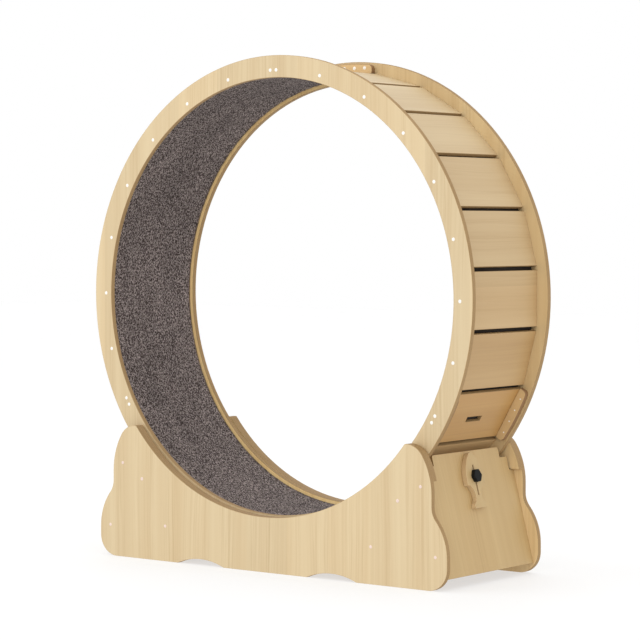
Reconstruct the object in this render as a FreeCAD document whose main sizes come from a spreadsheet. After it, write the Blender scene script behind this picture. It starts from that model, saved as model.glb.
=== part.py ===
import FreeCAD, Part
import math
import os

import Sketcher

# Free-standing exercise wheel for a cat, in millimetres.
# X runs along the wheel, Y along its axle line towards the rear, Z up; the origin is on the
# floor under the middle of the wheel.
# The front ring and the front side plate face -Y; the latch is on the +X end of the base.

vec = FreeCAD.Vector

sizes = [
    # the wheel
    ("wheel_radius", 550, "outer edge of the two rings"),
    ("rim_depth", 50.4, "radial width of a ring"),
    ("ring_thickness", 12, "board of the rings"),
    ("ring_joint_gap", 0.5, "hairline between two ring segments"),
    ("track_width", 288, "between the two rings, and the length of a tread"),
    ("tread_set_in", 29.2, "ring edge to the outer face of a tread"),
    ("tread_thickness", 9, "board of the treads"),
    ("tread_gap", 9, "gap between neighbouring treads"),
    ("carpet_thickness", 5.2, "pile and backing of the running carpet"),
    ("carpet_seat", 0.3, "glue line between the carpet and the treads"),
    ("carpet_side_gap", 1, "carpet edge to ring"),
    ("splice_thickness", 12, "board behind each ring joint"),
    ("splice_length", 132, "along the tread"),
    ("splice_corner", 10, "rounded outer corners"),
    ("splice_screw_pitch", 29.8, "four screws in a row"),
    ("splice_screw_set_in", 16, "ring edge to that row"),
    ("pair_spacing", 17.2, "between the two screws at a ring joint"),
    ("lock_slot_length", 57, "across the track"),
    ("lock_slot_clearance", 0.4, "each side of the latch board"),
    ("lock_slot_drop", 7.3, "below the middle of its tread"),
    # the screw caps
    ("cap_radius", 4.3, "white cap over each screw"),
    ("cap_height", 1, "stands proud of the board"),
    ("pin_radius", 2.2, "small screw head at the lower ring joints"),
    # the side plates and the cradle boards on their inner faces
    ("floor_clearance", 78.3, "under the wheel"),
    ("plate_thickness", 12, "outer side plates"),
    ("cradle_thickness", 12, "boards that carry the rollers"),
    ("cradle_bottom", 50, "lower edge above the floor"),
    ("arc_reveal", 2.4, "cut-out edge to the inner edge of a ring"),
    ("bulge_set_in", 43.4, "wheel edge to the widest point of the foot"),
    ("bulge_height", 69.5, "widest point above the floor"),
    ("bulge_radius", 129, "lower lobe of the outline"),
    ("foot_corner", 50, "rounded corner at the floor"),
    ("waist_set_in", 84.8, "wheel edge to the waist"),
    ("waist_radius", 45, "hollow between the lobes"),
    ("shoulder_radius", 160, "upper lobe of the outline"),
    ("shoulder_sweep", 33, "degrees of the upper lobe"),
    ("horn_radius", 50, "rounded top of a horn"),
    ("horn_set_out", 35.9, "cut-out edge to the middle of the horn's round top"),
    ("arch_start", 122, "middle of the base to an arch"),
    ("arch_length", 140, "hollow between two feet"),
    ("arch_rise", 14, "height of that hollow"),
    # the sloping end panels
    ("panel_thickness", 12, "board of the end panels"),
    ("panel_tilt", 14.8, "degrees from upright, top leaning inwards"),
    ("panel_set_in", 226, "wheel edge to the outer face, square to the panel"),
    ("panel_tread_clearance", 12.5, "top edge to the passing treads"),
    ("panel_bottom", 25, "lower edge above the floor"),
    ("panel_corner", 5, "rounded top corners"),
    ("ring_notch_depth", 23.8, "lets the ring pass"),
    ("ring_notch_clearance", 2, "notch edge to the splice plates"),
    ("cradle_notch_depth", 54, "lets the cradle board pass"),
    ("cradle_notch_clearance", 5, "notch edge to the cradle board"),
    ("board_clearance", 1, "between boards that only pass each other"),
    ("upper_screw_height", 225, "screw through the plate into the end panel"),
    ("lower_screw_height", 74, "screw through the plate into the end panel"),
    # the cross rails
    ("rail_offset", 301.4, "middle of the base to a rail"),
    ("rail_height", 83, "middle of a rail above the floor"),
    ("rail_depth", 60, "upright width of a rail"),
    ("rail_thickness", 12, "board of the rails"),
    # the rollers
    ("roller_angle", 40.5, "degrees from the lowest point of the wheel"),
    ("roller_groove_radius", 26, "tread of a roller"),
    ("roller_groove_clearance", 0.7, "each side of the ring"),
    ("roller_flange_height", 4.5, "beside the ring"),
    ("roller_flange_width", 6, "each side of the groove"),
    ("roller_running_gap", 0.3, "ring to groove, and roller to board and nut"),
    ("splice_flange_clearance", 1, "splice plate to a roller flange"),
    ("axle_radius", 3, "bolt that carries a roller"),
    ("axle_fit", 0.05, "radial play of a roller on its bolt"),
    ("axle_head_radius", 4.7, "cap on the head of that bolt"),
    ("nut_flats", 10, "across the flats of the lock nut"),
    ("nut_height", 6, "lock nut"),
    ("bolt_overhang", 1.5, "bolt end past the lock nut"),
    # the latch on the end panel
    ("latch_thickness", 12, "board of the latch"),
    ("latch_slide_gap", 0.3, "latch to panel, and knob to latch"),
    ("latch_top_drop", 5, "top edge of the panel to the top of the latch"),
    ("latch_head_width", 67, "upper part of the latch"),
    ("latch_head_length", 73, "top down to the ledge"),
    ("latch_side_radius", 78, "round sides of the head, drawn in towards the top"),
    ("latch_top_radius", 12, "round top of the head"),
    ("latch_ledge_width", 51, "width just under the ledge"),
    ("latch_neck_width", 23, "narrowest width"),
    ("latch_neck_drop", 26, "ledge to the neck"),
    ("latch_tail_width", 43, "width of the flat lower end"),
    ("latch_tail_height", 9.5, "upright edges of the lower end"),
    ("latch_length", 125, "top to the lower end"),
    ("latch_slot_top", 27.8, "top to the upper end of the slot"),
    ("latch_slot_length", 70, "full length of the slot"),
    ("latch_bolt_radius", 2.5, "bolt through panel and latch"),
    ("latch_bolt_drop", 58.8, "top edge of the panel to the bolt"),
    ("latch_bolt_head_radius", 6, "round head behind the panel"),
    ("latch_bolt_head_height", 3, "round head behind the panel"),
    ("latch_bolt_play", 0.3, "each side of the bolt in the slot"),
    ("knob_flats", 27.8, "across the flats of the hexagonal knob"),
    ("knob_corner", 4, "rounded edges between the flats"),
    ("knob_height", 9, "thickness of the knob"),
    ("knob_bevel", 1.5, "chamfer around the knob's face"),
    ("knob_bore_depth", 6.5, "threaded insert, blind"),
]

doc = FreeCAD.newDocument("CatExerciseWheel")
sheet = doc.addObject("Spreadsheet::Sheet", "Sizes")
for row, (alias, value, note) in enumerate(sizes, start=1):
    sheet.set("A%d" % row, note)
    sheet.set("B%d" % row, str(value))
    sheet.setAlias("B%d" % row, alias)
doc.recompute()


def size(alias):
    return float(sheet.get(alias))


# ---- counts that belong to the design -----------------------------------------------------
tread_count = 24
ring_joint_treads = {1: "top", 9: "right", 17: "left"}
ring_spans = {"right": (-30, 90), "left": (90, 210), "bottom": (210, 330)}
lock_slot_tread = 9
screws_per_splice = 4
# round pieces that repeat are drawn with flats, and so is the carpet, three to a tread
cap_sides = 6
roller_sides = 28
bolt_head_sides = 12
nut_bore_sides = 12
carpet_sides = 3 * tread_count

# ---- places worked out from the sizes ---------------------------------------------------
wheel_radius = size("wheel_radius")
axis_height = wheel_radius + size("floor_clearance")
ring_inner_radius = wheel_radius - size("rim_depth")
tread_outer = wheel_radius - size("tread_set_in")
tread_inner = tread_outer - size("tread_thickness")
tread_middle = (tread_outer + tread_inner) / 2
half_pitch = math.radians(180 / tread_count)
tread_width = 2 * tread_middle * math.tan(half_pitch) - size("tread_gap")
tread_corner_radius = math.hypot(tread_outer, tread_width / 2)
track_half = size("track_width") / 2
ring_outer_face = track_half + size("ring_thickness")
ring_middle_face = track_half + size("ring_thickness") / 2
splice_face = track_half - size("splice_thickness")
splice_outer_radius = wheel_radius - size("roller_flange_height") - size("splice_flange_clearance")
carpet_outer_radius = tread_inner - size("carpet_seat")
carpet_half = track_half - size("carpet_side_gap")

groove_width = size("ring_thickness") + 2 * size("roller_groove_clearance")
roller_half = groove_width / 2 + size("roller_flange_width")
roller_flange_radius = size("roller_groove_radius") + size("roller_flange_height")
roller_bore_radius = size("axle_radius") + size("axle_fit")
roller_distance = wheel_radius + size("roller_running_gap") + size("roller_groove_radius")
roller_swing = math.radians(size("roller_angle"))
roller_x = roller_distance * math.sin(roller_swing)
roller_z = axis_height - roller_distance * math.cos(roller_swing)

cradle_face = ring_middle_face + roller_half + size("roller_running_gap")
plate_face = cradle_face + size("cradle_thickness")
base_face = plate_face + size("plate_thickness")

tilt = math.radians(size("panel_tilt"))
panel_normal = vec(math.cos(tilt), 0, math.sin(tilt))
panel_up = vec(-math.sin(tilt), 0, math.cos(tilt))
panel_outer = wheel_radius - size("panel_set_in")
panel_inner = panel_outer - size("panel_thickness")
wheel_axis = vec(0, 0, axis_height)
# Up the slope, measured from the point of the panel nearest to the wheel's axis.
panel_top = -math.sqrt((tread_corner_radius + size("panel_tread_clearance")) ** 2 - panel_inner ** 2)


def slope_at(height, offset):
    """Place up the slope of a point at this height, offset square to the panel."""
    return (height - axis_height - offset * math.sin(tilt)) / math.cos(tilt)


def slope_x(height, offset):
    """X of a point at this height, on the plane that lies this far from the wheel's axis."""
    return (offset - (height - axis_height) * math.sin(tilt)) / math.cos(tilt)


panel_bottom = slope_at(size("panel_bottom"), panel_outer)
cradle_notch = panel_top - size("cradle_notch_depth")
ring_notch = panel_top - size("ring_notch_depth")
cradle_step = (axis_height + panel_outer * math.sin(tilt) + cradle_notch * math.cos(tilt)
               + size("board_clearance"))
latch_bolt_slope = panel_top - size("latch_bolt_drop")

parts = []


def add_part(item, label):
    item.Label = label
    parts.append(item)
    return item


# ---- small helpers for sketches, bodies and placements ------------------------------------
def new_body(label):
    return add_part(doc.addObject("PartDesign::Body", label), label)


def new_sketch(body, role, name):
    sketch = body.newObject("Sketcher::SketchObject", name)
    plane = [item for item in body.Origin.OriginFeatures if item.Role == role][0]
    sketch.AttachmentSupport = [(plane, "")]
    sketch.MapMode = "FlatFace"
    return sketch


def line(start, end):
    return Part.LineSegment(vec(start[0], start[1], 0), vec(end[0], end[1], 0))


def arc(centre, radius, start, end):
    """Arc from one point to another, anticlockwise about the centre."""
    first = math.atan2(start[1] - centre[1], start[0] - centre[0])
    last = math.atan2(end[1] - centre[1], end[0] - centre[0])
    if last <= first:
        last += 2 * math.pi
    circle = Part.Circle(vec(centre[0], centre[1], 0), vec(0, 0, 1), radius)
    return Part.ArcOfCircle(circle, first, last)


def polar(centre, radius, angle):
    return (centre[0] + radius * math.cos(angle), centre[1] + radius * math.sin(angle))


def mirrored(edge):
    """The same edge on the other side of the upright middle line."""
    if isinstance(edge, Part.LineSegment):
        return line((-edge.EndPoint.x, edge.EndPoint.y), (-edge.StartPoint.x, edge.StartPoint.y))
    centre = (-edge.Center.x, edge.Center.y)
    start, end = edge.EndPoint, edge.StartPoint
    return arc(centre, edge.Radius, (-start.x, start.y), (-end.x, end.y))


def draw_outline(sketch, edges, radii=None):
    """Closed outline with its corners joined, and its arcs bound to the sheet."""
    first = len(sketch.Geometry)
    for edge in edges:
        sketch.addGeometry(edge, False)
    for index in range(len(edges)):
        here = first + index
        following = first + (index + 1) % len(edges)
        joined = False
        for end in (2, 1):
            for start in (1, 2):
                gap = sketch.getPoint(here, end).distanceToPoint(sketch.getPoint(following, start))
                if not joined and gap < 1e-4:
                    sketch.addConstraint(Sketcher.Constraint("Coincident", here, end, following, start))
                    joined = True
    for index, expression in (radii or {}).items():
        edge = first + index
        radius = sketch.Geometry[edge].Radius
        number = sketch.addConstraint(Sketcher.Constraint("Radius", edge, radius))
        sketch.setExpression("Constraints[%d]" % number, expression)


def draw_hole(sketch, centre, radius, expression):
    circle = Part.Circle(vec(centre[0], centre[1], 0), vec(0, 0, 1), radius)
    index = sketch.addGeometry(circle, False)
    number = sketch.addConstraint(Sketcher.Constraint("Radius", index, radius))
    sketch.setExpression("Constraints[%d]" % number, expression)


def pad(body, sketch, name, expression):
    feature = body.newObject("PartDesign::Pad", name)
    feature.Profile = sketch
    feature.setExpression("Length", expression)
    sketch.Visibility = False
    return feature


def bar(name, radius, length, place, sides=0):
    """Round bar, or a prism where sides are given; radius and length are expressions."""
    item = doc.addObject("Part::Prism" if sides else "Part::Cylinder", name)
    if sides:
        item.Polygon = sides
    item.setExpression("Circumradius" if sides else "Radius", radius)
    item.setExpression("Height", length)
    item.Placement = place
    return item


def upright_place(y, turn=0):
    """Place for a piece drawn about the wheel's axis; turn is clockwise seen from the front."""
    return FreeCAD.Placement(vec(0, y, axis_height), FreeCAD.Rotation(vec(0, 1, 0), turn))


def facing(side):
    """Turns +Z to +Y or -Y."""
    return FreeCAD.Rotation(vec(1, 0, 0), -90 * side)


def sloping_place(offset, side=1):
    """Place on a plane square to the panel's normal, with Y up the slope, on the +X or -X end."""
    across = vec(0, side, 0)
    up = vec(side * panel_up.x, 0, panel_up.z)
    out = vec(side * panel_normal.x, 0, panel_normal.z)
    return FreeCAD.Placement(wheel_axis + out * offset, FreeCAD.Rotation(across, up, out, "XYZ"))


# ---- rings ------------------------------------------------------------------------------
def ring_segment(label, span, y):
    """Third of a ring, cut where two segments meet behind a tread."""
    body = new_body(label)
    sketch = new_sketch(body, "XZ_Plane", label + "_outline")
    half_gap = size("ring_joint_gap") / 2
    corners = []
    for radius in (ring_inner_radius, wheel_radius):
        for limit, way in ((span[0], 1), (span[1], -1)):
            angle = math.radians(limit) + way * math.asin(half_gap / radius)
            corners.append(polar((0, 0), radius, angle))
    inner_start, inner_end, outer_start, outer_end = corners
    edges = [
        arc((0, 0), wheel_radius, outer_start, outer_end),
        line(outer_end, inner_end),
        arc((0, 0), ring_inner_radius, inner_start, inner_end),
        line(inner_start, outer_start),
    ]
    radii = {0: "Sizes.wheel_radius", 2: "Sizes.wheel_radius - Sizes.rim_depth"}
    draw_outline(sketch, edges, radii)
    pad(body, sketch, label + "_board", "Sizes.ring_thickness")
    body.Placement = upright_place(y)


# ---- treads -----------------------------------------------------------------------------
def tread(number):
    """Flat slat between the rings; one of them has the slot that the latch locks into."""
    label = "tread_%02d" % number
    slat = doc.addObject("Part::Box", label + "_slat")
    slat.setExpression(
        "Length",
        "2 * (Sizes.wheel_radius - Sizes.tread_set_in - Sizes.tread_thickness / 2)"
        " * tan(%g deg) - Sizes.tread_gap" % (180 / tread_count))
    slat.setExpression("Width", "Sizes.track_width")
    slat.setExpression("Height", "Sizes.tread_thickness")
    turn = 360 / tread_count * (number - 1)
    seat = FreeCAD.Placement(vec(-tread_width / 2, -track_half, tread_inner), FreeCAD.Rotation())
    slat.Placement = upright_place(0, turn).multiply(seat)
    if number != lock_slot_tread:
        return add_part(slat, label)
    slot = doc.addObject("Part::Box", label + "_slot")
    slot.setExpression("Length", "Sizes.latch_thickness + 2 * Sizes.lock_slot_clearance")
    slot.setExpression("Width", "Sizes.lock_slot_length")
    slot.setExpression("Height", "3 * Sizes.tread_thickness")
    corner = vec(size("lock_slot_drop") - size("latch_thickness") / 2 - size("lock_slot_clearance"),
                 -size("lock_slot_length") / 2, tread_inner - size("tread_thickness"))
    slot.Placement = upright_place(0, turn).multiply(FreeCAD.Placement(corner, FreeCAD.Rotation()))
    slotted = doc.addObject("Part::Cut", label)
    slotted.Base = slat
    slotted.Tool = slot
    return add_part(slotted, label)


# ---- carpet -----------------------------------------------------------------------------
def carpet():
    """Strip all the way round, glued inside the treads."""
    back = "Sizes.wheel_radius - Sizes.tread_set_in - Sizes.tread_thickness - Sizes.carpet_seat"
    width = "Sizes.track_width - 2 * Sizes.carpet_side_gap"
    seat = upright_place(-carpet_half).multiply(FreeCAD.Placement(vec(), facing(1)))
    strip = doc.addObject("Part::Cut", "carpet")
    strip.Base = bar("carpet_backing", back, width, seat, carpet_sides)
    strip.Tool = bar("carpet_opening", back + " - Sizes.carpet_thickness", width, seat, carpet_sides)
    add_part(strip, "carpet")


# ---- splice plates ------------------------------------------------------------------------
def splice_plate(label, joint_tread, y):
    """Board behind a ring joint: straight edge on the tread, outer edge following the ring."""
    body = new_body(label)
    sketch = new_sketch(body, "XZ_Plane", label + "_outline")
    half = size("splice_length") / 2
    corner = size("splice_corner")
    reach = splice_outer_radius - corner
    corner_centre = (half - corner, math.sqrt(reach ** 2 - (half - corner) ** 2))
    side_end = (half, corner_centre[1])
    arc_end = polar((0, 0), splice_outer_radius, math.atan2(corner_centre[1], corner_centre[0]))
    right = [
        line((half, tread_outer), side_end),
        arc(corner_centre, corner, side_end, arc_end),
    ]
    left = [mirrored(edge) for edge in reversed(right)]
    edges = [line((-half, tread_outer), (half, tread_outer))] + right
    edges += [arc((0, 0), splice_outer_radius, arc_end, (-arc_end[0], arc_end[1]))] + left
    radii = {2: "Sizes.splice_corner", 4: "Sizes.splice_corner"}
    draw_outline(sketch, edges, radii)
    pad(body, sketch, label + "_board", "Sizes.splice_thickness")
    body.Placement = upright_place(y, 360 / tread_count * (joint_tread - 1))


# ---- screw caps ---------------------------------------------------------------------------
def cap(label, place, radius="Sizes.cap_radius"):
    """One low cap, its foot at the origin and standing up Z before it is placed."""
    return bar(label, radius, "Sizes.cap_height", place, cap_sides)


def group(label, pieces):
    compound = doc.addObject("Part::Compound", label)
    compound.Links = pieces
    return add_part(compound, label)


def wheel_seat(turn, along, radius, y, side):
    """Seat of a cap on the wheel, turned with the tread it belongs to."""
    return upright_place(y, turn).multiply(FreeCAD.Placement(vec(along, 0, radius), facing(side)))


def ring_caps():
    caps = []
    for side in (-1, 1):
        for number in range(1, tread_count + 1):
            pair = size("pair_spacing") / 2
            places = (-pair, pair) if number in ring_joint_treads else (0,)
            for along in places:
                label = "ring_cap_%03d" % (len(caps) + 1)
                turn = 360 / tread_count * (number - 1)
                caps.append(cap(label, wheel_seat(turn, along, tread_middle, side * ring_outer_face, side)))
    group("ring_screw_caps", caps)


def splice_caps():
    caps = []
    row_radius = wheel_radius - size("splice_screw_set_in")
    for side in (-1, 1):
        for number, joint in ring_joint_treads.items():
            radius = "Sizes.cap_radius" if joint == "top" else "Sizes.pin_radius"
            for place in range(screws_per_splice):
                along = (place - (screws_per_splice - 1) / 2) * size("splice_screw_pitch")
                label = "splice_cap_%03d" % (len(caps) + 1)
                turn = 360 / tread_count * (number - 1)
                seat = wheel_seat(turn, along, row_radius, side * splice_face, -side)
                caps.append(cap(label, seat, radius))
    group("splice_screw_caps", caps)


def panel_screw(height):
    return (slope_x(height, panel_outer - size("panel_thickness") / 2), height)


def base_screws():
    """Screws of one half of a side plate: two into the end panel and one into the rail."""
    return [
        panel_screw(size("upper_screw_height")),
        panel_screw(size("lower_screw_height")),
        (size("rail_offset"), size("rail_height")),
    ]


def base_caps():
    caps = []
    for side in (-1, 1):
        for hand in (-1, 1):
            for x, z in base_screws():
                label = "base_cap_%02d" % (len(caps) + 1)
                place = FreeCAD.Placement(vec(hand * x, side * base_face, z), facing(side))
                caps.append(cap(label, place))
    group("base_screw_caps", caps)


# ---- outline of the side plates and the cradle boards ---------------------------------------
def crossing(first, first_radius, second, second_radius):
    """Where two circles cross, on the right of the way from the first to the second."""
    way = (second[0] - first[0], second[1] - first[1])
    distance = math.hypot(way[0], way[1])
    along = (distance ** 2 + first_radius ** 2 - second_radius ** 2) / (2 * distance)
    aside = math.sqrt(first_radius ** 2 - along ** 2)
    return (first[0] + (along * way[0] + aside * way[1]) / distance,
            first[1] + (along * way[1] - aside * way[0]) / distance)


def horn_centres():
    """Centres of a horn's shoulder and of its round top, set outside the round cut-out."""
    distance = ring_inner_radius + size("arc_reveal") + size("horn_set_out")
    sweep = math.radians(size("shoulder_sweep"))
    offset = polar((0, 0), size("shoulder_radius") - size("horn_radius"), sweep)
    top_x = wheel_radius - size("waist_set_in") - size("shoulder_radius") + offset[0]
    top = (top_x, axis_height - math.sqrt(distance ** 2 - top_x ** 2))
    return (top[0] - offset[0], top[1] - offset[1]), top


def horn(start_height):
    """Edges from the side at a height, over the horn, to the tip at the cut-out; and that tip."""
    waist_x = wheel_radius - size("waist_set_in")
    shoulder_radius = size("shoulder_radius")
    horn_radius = size("horn_radius")
    shoulder, top = horn_centres()
    cut_radius = ring_inner_radius + size("arc_reveal")
    tip = crossing(top, horn_radius, (0, axis_height), cut_radius)
    blend = polar(shoulder, shoulder_radius, math.radians(size("shoulder_sweep")))
    edges = []
    if start_height < shoulder[1]:
        start = (waist_x, shoulder[1])
        edges.append(line((waist_x, start_height), start))
    else:
        rise = math.asin((start_height - shoulder[1]) / shoulder_radius)
        start = polar(shoulder, shoulder_radius, rise)
    edges.append(arc(shoulder, shoulder_radius, start, blend))
    edges.append(arc(top, horn_radius, blend, tip))
    return edges, tip


def plate_half():
    """Right half of a side plate's outline, from the middle of the floor to the horn's tip."""
    bulge_x = wheel_radius - size("bulge_set_in")
    waist_x = wheel_radius - size("waist_set_in")
    corner = size("foot_corner")
    bulge_radius = size("bulge_radius")
    waist_radius = size("waist_radius")
    arch_start = size("arch_start")
    arch_end = arch_start + size("arch_length")
    arch_rise = size("arch_rise")
    arch_radius = ((size("arch_length") / 2) ** 2 + arch_rise ** 2) / (2 * arch_rise)
    arch_centre = ((arch_start + arch_end) / 2, arch_rise - arch_radius)
    bulge = (bulge_x - bulge_radius, size("bulge_height"))
    # the hollow of the waist touches the bulge from outside
    reach = bulge_radius + waist_radius
    waist_centre_x = waist_x + waist_radius
    waist_z = bulge[1] + math.sqrt(reach ** 2 - (waist_centre_x - bulge[0]) ** 2)
    waist = (waist_centre_x, waist_z)
    shoulder = horn_centres()[0]
    if waist_z > shoulder[1]:
        # too near for a straight edge between them, so the hollow touches the shoulder as well
        span = size("shoulder_radius") + waist_radius
        waist = crossing(bulge, reach, shoulder, span)
        waist_z = shoulder[1] + (waist[1] - shoulder[1]) * size("shoulder_radius") / span
    upper, tip = horn(waist_z)
    waist_end = upper[0].StartPoint
    touch = polar(bulge, bulge_radius, math.atan2(waist[1] - bulge[1], waist[0] - bulge[0]))
    edges = [
        line((0, 0), (arch_start, 0)),
        arc(arch_centre, arch_radius, (arch_end, 0), (arch_start, 0)),
        line((arch_end, 0), (bulge_x - corner, 0)),
        arc((bulge_x - corner, corner), corner, (bulge_x - corner, 0), (bulge_x, corner)),
        line((bulge_x, corner), (bulge_x, bulge[1])),
        arc(bulge, bulge_radius, (bulge_x, bulge[1]), touch),
        arc(waist, waist_radius, (waist_end.x, waist_end.y), touch),
    ]
    return edges + upper, tip


def cradle_half():
    """Right half of a cradle board: inside the end panel, with an ear through the panel's notch."""
    bottom = size("cradle_bottom")
    inside = panel_inner - size("board_clearance")
    foot = (slope_x(bottom, inside), bottom)
    step = (slope_x(cradle_step, inside), cradle_step)
    upper, tip = horn(cradle_step)
    ear = upper[0].StartPoint
    edges = [line((0, bottom), foot), line(foot, step), line(step, (ear.x, ear.y))]
    return edges + upper, tip


def base_board(label, half, tip, y, thickness, radii):
    """Board of the base: both halves of its outline, the round cut-out and the axle holes."""
    body = new_body(label)
    sketch = new_sketch(body, "XZ_Plane", label + "_outline")
    cut_radius = ring_inner_radius + size("arc_reveal")
    cut_out = arc((0, axis_height), cut_radius, (-tip[0], tip[1]), tip)
    edges = half + [cut_out] + [mirrored(edge) for edge in reversed(half)]
    count = len(half)
    bound = {count: "Sizes.wheel_radius - Sizes.rim_depth + Sizes.arc_reveal"}
    for index, expression in radii.items():
        bound[index] = expression
        bound[2 * count - index] = expression
    draw_outline(sketch, edges, bound)
    for hand in (-1, 1):
        draw_hole(sketch, (hand * roller_x, roller_z), size("axle_radius"), "Sizes.axle_radius")
    pad(body, sketch, label + "_board", "Sizes." + thickness)
    body.Placement = FreeCAD.Placement(vec(0, y, 0), FreeCAD.Rotation())


def base_boards():
    half, tip = plate_half()
    last = len(half) - 1
    radii = {3: "Sizes.foot_corner", 5: "Sizes.bulge_radius", 6: "Sizes.waist_radius",
             last - 1: "Sizes.shoulder_radius", last: "Sizes.horn_radius"}
    base_board("side_plate_front", half, tip, -plate_face, "plate_thickness", radii)
    base_board("side_plate_rear", half, tip, base_face, "plate_thickness", radii)
    half, tip = cradle_half()
    last = len(half) - 1
    radii = {last - 1: "Sizes.shoulder_radius", last: "Sizes.horn_radius"}
    base_board("cradle_board_front", half, tip, -cradle_face, "cradle_thickness", radii)
    base_board("cradle_board_rear", half, tip, plate_face, "cradle_thickness", radii)


# ---- end panels -----------------------------------------------------------------------------
def end_panel(label, side):
    """Sloping board between the side plates, notched for the rings and the cradle boards."""
    body = new_body(label)
    sketch = new_sketch(body, "XY_Plane", label + "_outline")
    corner = size("panel_corner")
    ring_edge = splice_face - size("ring_notch_clearance")
    cradle_edge = cradle_face - size("cradle_notch_clearance")
    right = [
        line((plate_face, panel_bottom), (plate_face, cradle_notch)),
        line((plate_face, cradle_notch), (cradle_edge, cradle_notch)),
        line((cradle_edge, cradle_notch), (cradle_edge, ring_notch)),
        line((cradle_edge, ring_notch), (ring_edge, ring_notch)),
        line((ring_edge, ring_notch), (ring_edge, panel_top - corner)),
        arc((ring_edge - corner, panel_top - corner), corner,
            (ring_edge, panel_top - corner), (ring_edge - corner, panel_top)),
    ]
    edges = [line((-plate_face, panel_bottom), (plate_face, panel_bottom))] + right
    edges.append(line((ring_edge - corner, panel_top), (corner - ring_edge, panel_top)))
    edges += [mirrored(edge) for edge in reversed(right)]
    draw_outline(sketch, edges, {6: "Sizes.panel_corner", 8: "Sizes.panel_corner"})
    if side > 0:
        draw_hole(sketch, (0, latch_bolt_slope), size("latch_bolt_radius"), "Sizes.latch_bolt_radius")
    pad(body, sketch, label + "_board", "Sizes.panel_thickness")
    body.Placement = sloping_place(panel_inner, side)


# ---- cross rails ------------------------------------------------------------------------------
def cross_rail(label, hand):
    rail = doc.addObject("Part::Box", label)
    rail.setExpression("Length", "Sizes.rail_thickness")
    rail.setExpression("Height", "Sizes.rail_depth")
    rail.setExpression(
        "Width",
        "Sizes.track_width + 2 * Sizes.ring_thickness + 2 * Sizes.roller_groove_clearance"
        " + 2 * Sizes.roller_flange_width + 2 * Sizes.roller_running_gap")
    rail.Placement = FreeCAD.Placement(
        vec(hand * size("rail_offset") - size("rail_thickness") / 2, -cradle_face,
            size("rail_height") - size("rail_depth") / 2),
        FreeCAD.Rotation())
    add_part(rail, label)


# ---- rollers and their bolts --------------------------------------------------------------------
def raised(height):
    return FreeCAD.Placement(vec(0, 0, height), FreeCAD.Rotation())


def roller(label, hand, side):
    """Grooved roller: two flanges, the groove that the ring runs in, and the bore."""
    groove_length = "Sizes.ring_thickness + 2 * Sizes.roller_groove_clearance"
    flange_radius = "Sizes.roller_groove_radius + Sizes.roller_flange_height"
    flange = size("roller_flange_width")
    blank = doc.addObject("Part::MultiFuse", label + "_blank")
    blank.Shapes = [
        bar(label + "_inner_flange", flange_radius, "Sizes.roller_flange_width", raised(0), roller_sides),
        bar(label + "_groove", "Sizes.roller_groove_radius", groove_length, raised(flange), roller_sides),
        bar(label + "_outer_flange", flange_radius, "Sizes.roller_flange_width",
            raised(flange + groove_width), roller_sides),
    ]
    turned = doc.addObject("Part::Cut", label)
    turned.Base = blank
    turned.Tool = bar(label + "_bore", "Sizes.axle_radius + Sizes.axle_fit",
                      groove_length + " + 2 * Sizes.roller_flange_width", raised(0))
    turned.Placement = axle_place(hand, side, ring_middle_face - roller_half)
    add_part(turned, label)


def axle_place(hand, side, y):
    """Seat on an axle line, with +Z pointing out of the base."""
    return FreeCAD.Placement(vec(hand * roller_x, side * y, roller_z), facing(side))


def roller_hardware():
    """Bolt and lock nut of each roller; the bolt's flat head is on the side plate."""
    nut_face = ring_middle_face - roller_half - size("roller_running_gap")
    shank_end = nut_face - size("nut_height") - size("bolt_overhang")
    shank_length = (
        "Sizes.plate_thickness + Sizes.cradle_thickness + 2 * Sizes.roller_running_gap"
        " + Sizes.ring_thickness + 2 * Sizes.roller_groove_clearance"
        " + 2 * Sizes.roller_flange_width + Sizes.nut_height + Sizes.bolt_overhang")
    bolts, nuts = [], []
    for side in (-1, 1):
        for hand in (-1, 1):
            name = "%d" % (len(bolts) + 1)
            bolt = doc.addObject("Part::Fuse", "axle_bolt_" + name)
            bolt.Base = bar("axle_shank_" + name, "Sizes.axle_radius", shank_length,
                            axle_place(hand, side, shank_end))
            bolt.Tool = cap("axle_head_" + name, axle_place(hand, side, base_face),
                            "Sizes.axle_head_radius")
            bolts.append(bolt)
            nuts.append(lock_nut("nut_" + name, axle_place(hand, side, nut_face - size("nut_height"))))
    group("roller_axles", bolts)
    group("roller_nuts", nuts)


def lock_nut(name, place):
    """Hexagonal nut on an axle bolt; the flats of its bore touch the bolt."""
    nut = doc.addObject("Part::Cut", name)
    nut.Base = bar(name + "_hexagon", "Sizes.nut_flats / 2 / cos(30 deg)", "Sizes.nut_height",
                   raised(0), 6)
    nut.Tool = bar(name + "_bore", "Sizes.axle_radius / cos(%g deg)" % (180 / nut_bore_sides),
                   "Sizes.nut_height", raised(0), nut_bore_sides)
    nut.Placement = place
    return nut


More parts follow.
